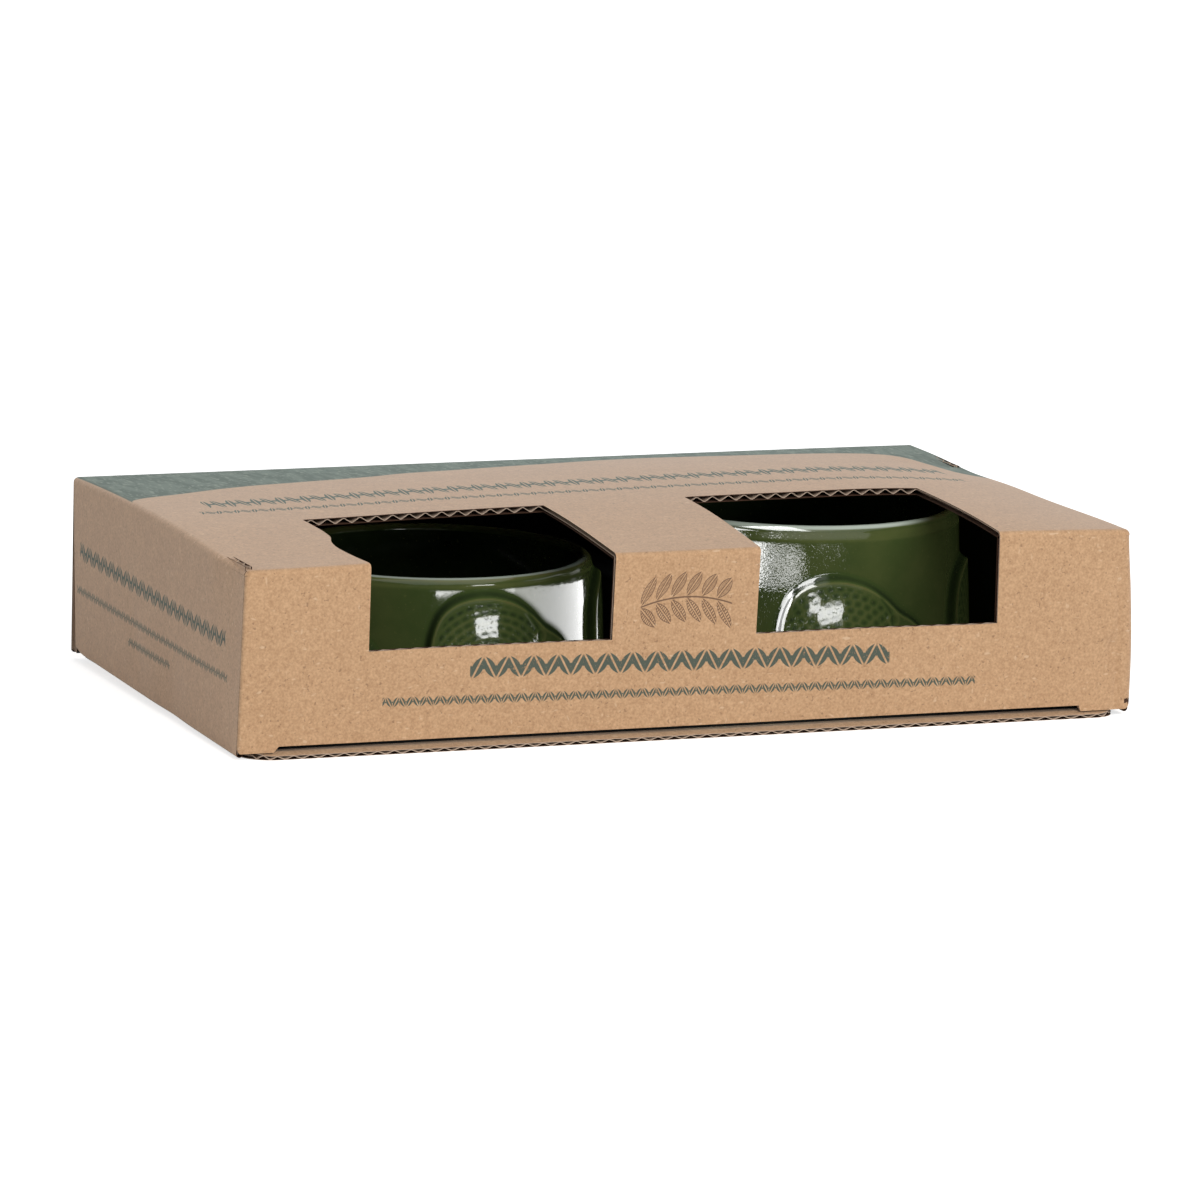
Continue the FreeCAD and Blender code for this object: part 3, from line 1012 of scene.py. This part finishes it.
# The bottom board, printed side down, with its two front corners rounded. Its left edge runs inwards.
def baseSurface(high):
    def surface(u, v, depth):
        corner = bySide(baseBoard["corner"], u)
        reach = high[0] - corner
        x, y = np.clip(u, -reach, reach), np.maximum(v, corner - high[1])
        far, heading = roundCorner(np.abs(u - x), np.abs(v - y))
        x, y = x + np.sign(u) * far * np.cos(heading), y - far * np.sin(heading)
        leftEnd, rightEnd = [ramp(end, baseBoard["endsFrom"], high[0]) for end in (-u, u)]
        leftEnd = leftEnd * np.clip((v + high[1]) / baseBoard["insetReach"], 0, 1)
        crush = baseBoard["crush"] * ramp(y, baseBoard["crushWidth"] - high[1], -high[1])
        return np.stack([x + baseBoard["leftInset"] * leftEnd + baseBoard["rightOutset"] * rightEnd,
                         y - baseBoard["ahead"] * ramp(-y, baseBoard["aheadFrom"], high[1]),
                         depth * (1 - crush / board["thickness"])], axis=1)
    return surface


def makeBaseBoard():
    _, high = boxOf("bottom_board")
    step, corner = baseBoard["cornerStep"], baseBoard["corner"]
    reach = [corner[-1] - high[0], high[0] - corner[1]]
    front = spaced([-high[1], corner[1] - high[1], corner[-1] - high[1]], step)
    us = np.concatenate([spaced([-high[0], reach[0]], step), spaced(reach, 6.0)[1:],
                         spaced([reach[1], high[0]], step)[1:]])
    vs, fluteVs = [np.concatenate([front, spaced([front[-1], high[1]], size)[1:]]) for size in (6.0, 20.0)]
    fluteUs = spaced([-high[0], *reach, high[0]], fluteStep)
    # faces look outwards when the first coordinate runs the other way
    parts = boardParts(-us[::-1], vs, -fluteUs[::-1], fluteVs, turned(baseSurface(high)), edge=3)
    points, faces, tint = parts[2]
    # a front strip of the base's upper face keeps the printed kraft where light reaches it; behind it the
    # near-black finish is painted shade
    tint[(tint == 2) & (points[faces][:, :, 1].mean(axis=1) < baseBoard["litEdge"] - high[1])] = 0
    makeBoards("bottomBoard", parts, "base")


dividerFold = 2.2


# A channel upside down: up one side, over the top and down the other. v runs along that path.
def dividerSurface(low, high):
    arc = dividerFold * math.pi / 2
    rise, across = high[2] - low[2] - dividerFold, high[0] - low[0] - 2 * dividerFold
    stops = np.cumsum([0, rise, arc, across, arc, rise])

    def surface(u, v, depth):
        radius = dividerFold - depth
        first, second = [np.clip((v - stops[k]) / dividerFold, 0, math.pi / 2) for k in (1, 3)]
        x = low[0] + dividerFold + np.clip(v - stops[2], 0, across)
        z = low[2] + np.minimum(v, rise) - np.maximum(v - stops[4], 0)
        return np.stack([x + radius * (np.sin(second) - np.cos(first)), u,
                         z + radius * (np.sin(first) + np.cos(second) - 1)], axis=1)
    return surface, stops


def makeDivider():
    low, high = boxOf("divider")
    surface, stops = dividerSurface(low, high)
    ends = [low[1], high[1]]
    # both faces of the divider take the near-black inner finish, painted shade
    makeBoards("divider", boardParts(spaced(ends, 8.0), spaced(stops, 1.2), spaced(ends, 12.0),
                                     spaced(stops, fluteStep), turned(surface, sum(ends)), acrossU=False,
                                     faces=(2, 2)), "base")


# Bowls

bowl = {
    "columns": 720,
    "rimRadius": 58.5,
    "footRadius": 61.0,
    "wall": 5.5,
    "floor": 6.0,
    "lip": 2.3,
    "footRounding": 3.0,
    "wellRounding": 9.0,
    "footRing": 6.0,
    "footRecess": 1.6,
    # first row of the underside, from its middle, that is bare clay
    "bareFrom": 6,
    "bandSlope": 0.21,
    "reliefs": 5,
    "reliefTop": 40.0,
    "rise": 3.3,
    "fillet": 2.7,
    "filletStart": -1.7,
    "rowStep": 0.5,
}

# Outline of one raised hedgehog, seen from outside: distance along the wall and height above the foot
hedgehogOutline = [(-25.2, 11.5), (-25.6, 18.5), (-24.6, 26.3), (-21.9, 33.0), (-17.1, 37.4), (-11.2, 39.5),
                   (-5, 40), (1, 39.0), (7.5, 36.4), (13.6, 32.2), (19.1, 27.2), (23.4, 24.6), (27.8, 21.6),
                   (31, 18.4), (33.2, 15.3), (32.8, 12.8), (29.8, 11.4), (25.2, 10.0), (22.4, 7.4),
                   (20.6, 4.6), (15.5, 3.7), (10, 4.7), (2, 4.9), (-7, 4.6), (-12, 3.7), (-19, 3.9), (-23, 7)]

# Line between the spiny back and the smooth face: heights with the distance along the wall, from below up
faceLine = [(3.7, 9.0), (12.0, 13.0), (20.0, 15.2), (27.0, 14.6), (31.6, 11.6), (38.6, 9.0)]

hedgehog = {"centre": (-3.5, 12.0), "ringSpacing": 2.6, "dimpleStep": 3.6, "dimpleDepth": 0.014,
            "dimplePool": 0.42, "swellReach": (26.0, 24.0), "faceStep": 0.55, "hairline": 0.30,
            "hairWidth": 0.75, "ear": (15.6, 24.0), "earRadius": 2.3, "earWidth": 0.7, "earRise": 0.55,
            "eye": (22.0, 19.4), "eyeSize": 1.25, "eyeRise": 0.75,
            "nose": (32.2, 14.9), "noseSize": 1.5, "noseRise": 0.9}

# crest: depth of the painted highlight along the rim, and the angle at which it is deepest.
# pitted: middle angle and height of a patch of rough glaze, and its half sizes.
# shine: how far along the wall, left of each relief's middle, its edge stays glossy.
bowls = {
    "feedingBowl": {"turn": 4.6, "dimple": (1.55, 0.78), "band": 3.3, "crest": (0.35, -20)},
    "drinkingBowl": {"turn": -3.5, "dimple": (1.15, 1.0), "band": 5.4, "crest": (1.3, -50),
                     "pitted": (-30, 47, 17, 13), "shine": -9},
}


# Catmull-Rom line through points that form a ring.
def closedCurve(points, steps=6):
    p = np.array(points, float)
    before, after, later = np.roll(p, 1, axis=0), np.roll(p, -1, axis=0), np.roll(p, -2, axis=0)
    found = []
    for t in np.arange(steps) / steps:
        found.append(0.5 * (2 * p + (after - before) * t + (2 * before - 5 * p + 4 * after - later) * t * t
                            + (3 * p - before - 3 * after + later) * t ** 3))
    return np.stack(found, axis=1).reshape(-1, 2)


# Distance of each point from a closed outline: positive inside, negative outside.
def insideDistance(points, outline):
    best = np.full(len(points), 1e9)
    inside = np.zeros(len(points), bool)
    for start, end in zip(outline, np.roll(outline, -1, axis=0)):
        step, rel = end - start, points - start
        t = np.clip(rel @ step / (step @ step), 0, 1)
        best = np.minimum(best, np.hypot(*(rel - t[:, None] * step).T))
        crosses = (start[1] > points[:, 1]) != (end[1] > points[:, 1])
        inside ^= crosses & (points[:, 0] < start[0] + rel[:, 1] * step[0] / (step[1] or 1e-9))
    return np.where(inside, best, -best)


def bump(points, spot, size):
    return np.exp(-np.sum((points - np.array(spot)) ** 2, axis=1) / size ** 2)


# For (along, height) points: height of the relief over the wall, its spiny part, how thick the glaze lies
# (darker on the edge slope, partly as painted shade), where the relief is, and the soft slopes of its edge
# and its face.
def hedgehogRelief(points):
    h = hedgehog
    inside = insideDistance(points, closedCurve(hedgehogOutline))
    swell = np.clip(1 - np.sum(((points - h["centre"]) / h["swellReach"]) ** 2, axis=1), 0, 1)
    raw = (np.maximum(inside - bowl["filletStart"], 0) / bowl["fillet"]) ** 2
    height = bowl["rise"] * raw / (1 + raw ** 6) ** (1 / 6) * (0.94 + 0.06 * swell)
    face = points[:, 0] - smoothThrough(faceLine, points[:, 1])
    hairline = hill(face, 0, h["hairWidth"]) * ramp(inside, 0.4, 2.0)
    height -= h["hairline"] * hairline + h["faceStep"] * ramp(face, -0.4, 0.8) * ramp(inside, 0, 2)
    eye, nose = bump(points, h["eye"], h["eyeSize"]), bump(points, h["nose"], h["noseSize"])
    ear = hill(np.hypot(*(points - h["ear"]).T), h["earRadius"], h["earWidth"])
    height += (h["eyeRise"] * eye + h["noseRise"] * nose + h["earRise"] * ear) * ramp(inside, 0, 1.5)
    spines = ramp(inside, 2.4, 3.4) * (1 - ramp(face, -2.2, -1.0))
    slope, crest = hill(inside, -0.3, 1.4), hill(inside, 1.3, 0.4)
    # the darker glaze on the edge slope is partly painted shade
    poolAndShade = glaze["level"] * (1 + slope - crest)
    poolAndShade += 0.35 * hairline - 0.10 * ramp(inside, 2, 8) - 0.2 * eye - 0.15 * ear
    softEdge = hill(inside, -0.2, 2.6, 4)
    softFace = ramp(inside, 0.0, 1.5) * ramp(face, -2.2, -1.0)
    return height, spines, poolAndShade, ramp(inside, 0.4, 1.4), softEdge, softFace


# The outer wall tapers towards the rim and leans inwards more in the plain band beneath it.
def wallRadius(z, height, band):
    taper = bowl["footRadius"] - (bowl["footRadius"] - bowl["rimRadius"]) * z / height
    return taper - bowl["bandSlope"] * max(z - (height - band), 0)


# Half section in four stretches: underside from its middle, outer wall, lip, and inside down to the middle of
# the well, each a list of (radius, height).
def bowlProfile(height, band):
    b = bowl
    recess, ring = b["footRecess"], b["footRadius"] - b["footRing"]
    rounding, well = b["footRounding"], b["wellRounding"]
    under = [(r, recess) for r in (0.0, 12, 24, 36, 46, ring - 1.0)]
    under += [(ring - 0.3, recess - 0.25), (ring, recess - 0.9), (ring + 0.15, 0.35), (ring + 0.5, 0.05),
              (ring + 1.2, 0.0), (b["footRadius"] - rounding, 0.0)]
    outer = [(b["footRadius"] - rounding * (1 - math.sin(turn)), rounding * (1 - math.cos(turn)))
             for turn in [k / 6 * math.pi / 2 for k in range(1, 6)]]
    lipBase = height - b["lip"]
    outer += [(wallRadius(z, height, band), z)
              for z in spaced([rounding, height - band, lipBase], b["rowStep"])]
    top, inner = wallRadius(lipBase, height, band), b["rimRadius"] - b["wall"]
    middle, half = (top + inner) / 2, (top - inner) / 2
    lip = [(middle + half * math.cos(a), lipBase + b["lip"] * math.sin(a))
           for a in np.linspace(0, math.pi, 15)[1:-1]]
    footInside = b["footRadius"] - b["wall"] - (b["footRadius"] - b["rimRadius"]) * b["floor"] / height
    slope = (footInside - inner) / (height - b["floor"])
    inside = [(inner + slope * (height - z), z) for z in np.linspace(lipBase, b["floor"] + well, 14)]
    edge = inside[-1][0]
    inside += [(edge - well * (1 - math.cos(a)), b["floor"] + well * (1 - math.sin(a)))
               for a in np.linspace(0, math.pi / 2, 9)[1:]]
    inside += [((edge - well) * k, b["floor"]) for k in (0.8, 0.6, 0.4, 0.2, 0.0)]
    return under, outer, lip, inside


# Faces between two rings, from their first points and counts. One may be a point, or have twice as many.
def bridge(a, countA, b, countB):
    if countA == 1:
        return [(a, b + (k + 1) % countB, b + k) for k in range(countB)]
    if countB == 1:
        return [(a + k, a + (k + 1) % countA, b) for k in range(countA)]
    if countA == countB:
        return [(a + k, a + (k + 1) % countA, b + (k + 1) % countA, b + k) for k in range(countA)]
    few, many = sorted((countA, countB))
    faces = []
    for k in range(few):
        k1, start, half, end = (k + 1) % few, 2 * k, 2 * k + 1, (2 * k + 2) % many
        if countA < countB:
            faces += [(a + k, a + k1, b + half), (a + k, b + half, b + start), (a + k1, b + end, b + half)]
        else:
            faces += [(a + start, a + half, b + k), (a + half, b + k1, b + k), (a + half, a + end, b + k1)]
    return faces


def makeBowl(name, setup):
    low, high = boxOf(nodeOf(name))
    height = high[2] - low[2]
    under, outer, lip, inside = bowlProfile(height, setup["band"])
    points, faces, tints, rows, count = [], [], [], [], 0
    for part, share in ((under, 2), (outer, 1), (lip + inside, 2)):
        for radius, z in part:
            columns = bowl["columns"] // share if radius else 1
            turn, level = np.radians(np.arange(columns) * 360 / columns), np.full(columns, z)
            points.append(np.stack([radius * np.sin(turn), -radius * np.cos(turn), level], axis=1))
            rows.append((count, columns))
            count += columns
    for number, (first, second) in enumerate(zip(rows, rows[1:])):
        new = bridge(*first, *second)
        faces += new
        tints += [int(bowl["bareFrom"] <= number < len(under) - 1)] * len(new)
    points, order = np.concatenate(points), np.arange(count)
    wallStart, lipStart, insideStart = [rows[k][0] for k in np.cumsum([len(under), len(outer), len(lip)])]

    # reliefs: every point of the outer wall is read in the frame of its nearest hedgehog
    z, radius = points[:, 2], np.hypot(points[:, 0], points[:, 1])
    bearing = np.degrees(np.arctan2(points[:, 0], -points[:, 1]))
    reliefArc = 360 / bowl["reliefs"]
    local = (bearing - setup["turn"] + reliefArc / 2) % reliefArc - reliefArc / 2
    along = np.radians(local) * (bowl["rimRadius"] + bowl["footRadius"]) / 2
    spots = np.stack([along, z], axis=1)
    wall = (order >= wallStart) & (order < lipStart)
    near = wall & (z < bowl["reliefTop"] + 3)
    fields = np.zeros((6, count))
    fields[2] = glaze["level"]
    fields[:, near] = hedgehogRelief(spots[near])
    lift, spines, poolAndShade, onRelief, soft, face = fields
    shine, bandLow = setup.get("shine", -50), height - setup["band"]
    soft = soft * ramp(along, shine - 1.5, shine + 1.5)
    soft = np.maximum(np.maximum(soft, face), wall * hill(z, bandLow, 0.9, 4))
    fade = ramp(z, 1.0, 3.5)
    outward = np.stack([np.sin(np.radians(bearing)), -np.cos(np.radians(bearing)), np.zeros(count)], axis=1)
    points = points + outward * (lift * fade)[:, None] + [*(low + high)[:2] / 2, low[2]]

    # glaze: thin along the rim, a painted highlight at its crest, darkened inside as painted shade, rough in
    # one patch
    rim = np.clip(1 - np.abs(z - height) / 1.6, 0, 1) * (radius > 20)
    inner = (order >= insideStart) * 1.0
    # painted shade: + 0.45 darkens the whole inside of each bowl
    poolAndShade = poolAndShade - 0.45 * rim - 0.10 * ramp(z, bandLow - 0.5, bandLow + 0.3) * wall + 0.45 * inner
    thick, turnTo = setup["crest"]
    swing = np.cos(np.radians(bearing - turnTo))
    crestLow = height - thick * (0.55 + 0.45 * swing)
    crest = ramp(z, crestLow - 0.2, crestLow + 0.2) * ramp(swing, 0.0, 0.35) * (1 - inner)
    pitted = np.zeros(count)
    if "pitted" in setup:
        turnAt, level, wide, tall = setup["pitted"]
        away = np.hypot((bearing - turnAt) / wide, (z + low[2] - level) / tall)
        pitted = (1 - ramp(away, 0.55, 1.0)) * wall

    fromCentre = (spots - hedgehog["centre"]).T
    mesh = bpy.data.meshes.new(name)
    mesh.from_pydata((points * mm).tolist(), [], faces)
    for label, values in {
        "poolAndShade": poolAndShade, "spines": spines * fade, "pitted": pitted, "crest": crest, "onRelief": onRelief,
        "soft": soft, "ringRadius": np.hypot(*fromCentre), "ringAngle": np.arctan2(*fromCentre[::-1]),
    }.items():
        mesh.attributes.new(label, "FLOAT", "POINT").data.foreach_set("value", values)
    mesh.attributes.new("outward", "FLOAT_VECTOR", "POINT").data.foreach_set("vector", outward.ravel())
    rough = addObject(name + "Rough", mesh)
    length, width = setup["dimple"]
    runTree(rough, dimpleTree, {
        "Ring spacing": hedgehog["ringSpacing"], "Dimple step": hedgehog["dimpleStep"],
        "Dimple length": length, "Dimple width": width, "Depth": hedgehog["dimpleDepth"] * mm,
        "Pooling": hedgehog["dimplePool"], "Material": greenGlaze,
    })
    result = takenResult(rough)
    result.name = name
    finishMesh(result, [greenGlaze, bareClay], tints)
    return placed(name, result, nodeOf(name))


# Floor, lights and view

studio = {"ambient": 0.40, "glossyWorld": 0.9, "floor": 0.86, "floorGlow": 0.70, "floorSize": 30.0,
          "aim": (0, 0, 35)}


def makePlane(name, corners, material):
    mesh = bpy.data.meshes.new(name)
    mesh.from_pydata(corners, [], [(0, 1, 2, 3)])
    mesh.materials.append(material)
    plane = addObject(name, mesh)
    return plane


def makeFloor():
    half = studio["floorSize"] / 2
    material, tree, shader = newMaterial("paleFloor")
    fill(shader, {"Base Color": (studio["floor"],) * 3, "Roughness": 0.9, "Specular IOR Level": 0.1})
    seen = added(tree, "ShaderNodeLightPath", {}, "Is Camera Ray")
    glow = added(tree, "ShaderNodeEmission", {"Strength": seen * studio["floorGlow"]})
    put(added(tree, "ShaderNodeAddShader", {0: Value(shader.outputs[0]), 1: glow}),
        tree.nodes["Material Output"].inputs["Surface"])
    makePlane("floor", [(-half, -half, 0), (half, -half, 0), (half, half, 0), (-half, half, 0)], material)


# A black card inside the front windows that only reflections meet, so that the bowls mirror no floor.
def makeCard():
    reach, ahead, low, high = 156.0 * mm, -92.2 * mm, 30.0 * mm, 66.0 * mm
    material, _, shader = newMaterial("blackCard")
    fill(shader, {"Base Color": (0, 0, 0), "Specular IOR Level": 0})
    card = makePlane("blackCard", [(-reach, ahead, low), (reach, ahead, low), (reach, ahead, high),
                                   (-reach, ahead, high)], material)
    card.visible_camera = card.visible_diffuse = card.visible_shadow = card.visible_transmission = False


def makeWorld():
    world = bpy.data.worlds.new("studio")
    bpy.context.scene.world = world
    world.use_nodes = True
    camera, glossy = [added(world.node_tree, "ShaderNodeLightPath", {}, f"Is {kind} Ray")
                      for kind in ("Camera", "Glossy")]
    fill(world.node_tree.nodes["Background"], {
        "Color": (1, 1, 1), "Strength": largest(camera, glossy * studio["glossyWorld"], studio["ambient"])})


def makeAreaLamp(name, place, turn, size, power):
    data = bpy.data.lights.new(name, "AREA")
    data.shape = "RECTANGLE"
    data.size, data.size_y = size
    data.energy = power
    lamp = addObject(name, data)
    lamp.location, lamp.rotation_euler = place, turn
    lamp.visible_camera = False
    return lamp


# A lamp that looks at the carton's middle and that nothing mirrors.
def makeLamp(name, azimuth, elevation, distance, size, power):
    direction = towards(azimuth, elevation)
    turn = direction.to_track_quat("Z", "Y").to_euler()
    lamp = makeAreaLamp(name, Vector(studio["aim"]) * mm + direction * distance, turn, size, power)
    lamp.visible_glossy = False
    return lamp


# Limit a lamp to some pieces. With alone, only they cast its shadows.
def lightOnly(lamp, pieces, alone=False):
    group = bpy.data.collections.new(lamp.name + "Pieces")
    for piece in pieces:
        group.objects.link(piece)
    lamp.light_linking.receiver_collection = group
    if alone:
        lamp.light_linking.blocker_collection = group


# Soft panels that only one bowl mirrors: the bowl, the panel's lowest and highest corners, its brightness
# and the way it faces.
reflectors = {
    "lowBowlFront": ("feedingBowl", (-13.0, -91.9, 16.0), (11.4, -91.9, 39.0), 15.0, "back"),
    "lowBowlSide": ("feedingBowl", (11.4, -91.9, 15.0), (11.4, -3.0, 39.0), 7.0, "left"),
    "lowBowlSpot": ("feedingBowl", (-45.5, -91.9, 52.0), (-19.5, -91.9, 59.5), 15.0, "back"),
    "lowBowlSill": ("feedingBowl", (-86.0, -91.9, 37.3), (-55.7, -91.9, 41.0), 15.0, "back"),
    "tallBowlFront": ("drinkingBowl", (-40.0, -91.9, 33.0), (48.0, -91.9, 46.5), 11.0, "back"),
    "tallBowlSpot": ("drinkingBowl", (67.0, -91.9, 49.8), (92.0, -91.9, 57.0), 15.0, "back"),
    "tallBowlArm": ("drinkingBowl", (56.0, -91.9, 55.5), (68.0, -91.9, 60.0), 15.0, "back"),
    "tallBowlCrescent": ("drinkingBowl", (28.0, -34.0, 18.0), (28.0, 2.0, 62.0), 15.0, "right"),
    "tallBowlEdge": ("drinkingBowl", (28.0, -52.0, 36.0), (28.0, -34.0, 62.0), 15.0, "right"),
    "tallBowlCorner": ("drinkingBowl", (4.0, -40.0, 64.0), (31.0, 8.0, 64.0), 15.0, "down"),
    "tallBowlTop": ("drinkingBowl", (30.0, -62.0, 76.0), (66.0, -20.0, 76.0), 15.0, "down"),
}

# The axes that a panel spans when it faces this way, and its turn in degrees
facings = {"back": (0, 2, (90, 0, 0)), "left": (1, 2, (90, 0, 90)), "right": (1, 2, (90, 0, -90)),
           "down": (0, 1, (0, 0, 0))}


def makeReflector(name, piece, low, high, brightness, facing):
    low, high = Vector(low) * mm, Vector(high) * mm
    across, up, turn = facings[facing]
    size = (high - low)[across], (high - low)[up]
    lamp = makeAreaLamp(name, (low + high) / 2, [math.radians(a) for a in turn], size,
                        brightness * math.pi * size[0] * size[1])
    lamp.visible_diffuse = False
    lightOnly(lamp, [piece])


makeBaseBoard()
makeDivider()
for side, word in ((-1, "left"), (1, "right")):
    makeInnerWall(side, word + "InnerWall")
    for place in ("front", "back"):
        makeFlap(side, place + word.capitalize() + "Flap")
made = {name: makeBowl(name, setup) for name, setup in bowls.items()}
makeFloor()
makeCard()
makeWorld()
makeLamp("keyLamp", 10, 34, 3.0, (2.2, 1.6), 58.5)
lightOnly(makeLamp("bowlFill", 66, 12, 1.2, (0.8, 0.6), 3.2), made.values(), True)
for name, (bowlName, *rest) in reflectors.items():
    makeReflector(name, made[bowlName], *rest)

bpy.context.scene.view_settings.view_transform = "Standard"
bpy.context.view_layer.update()
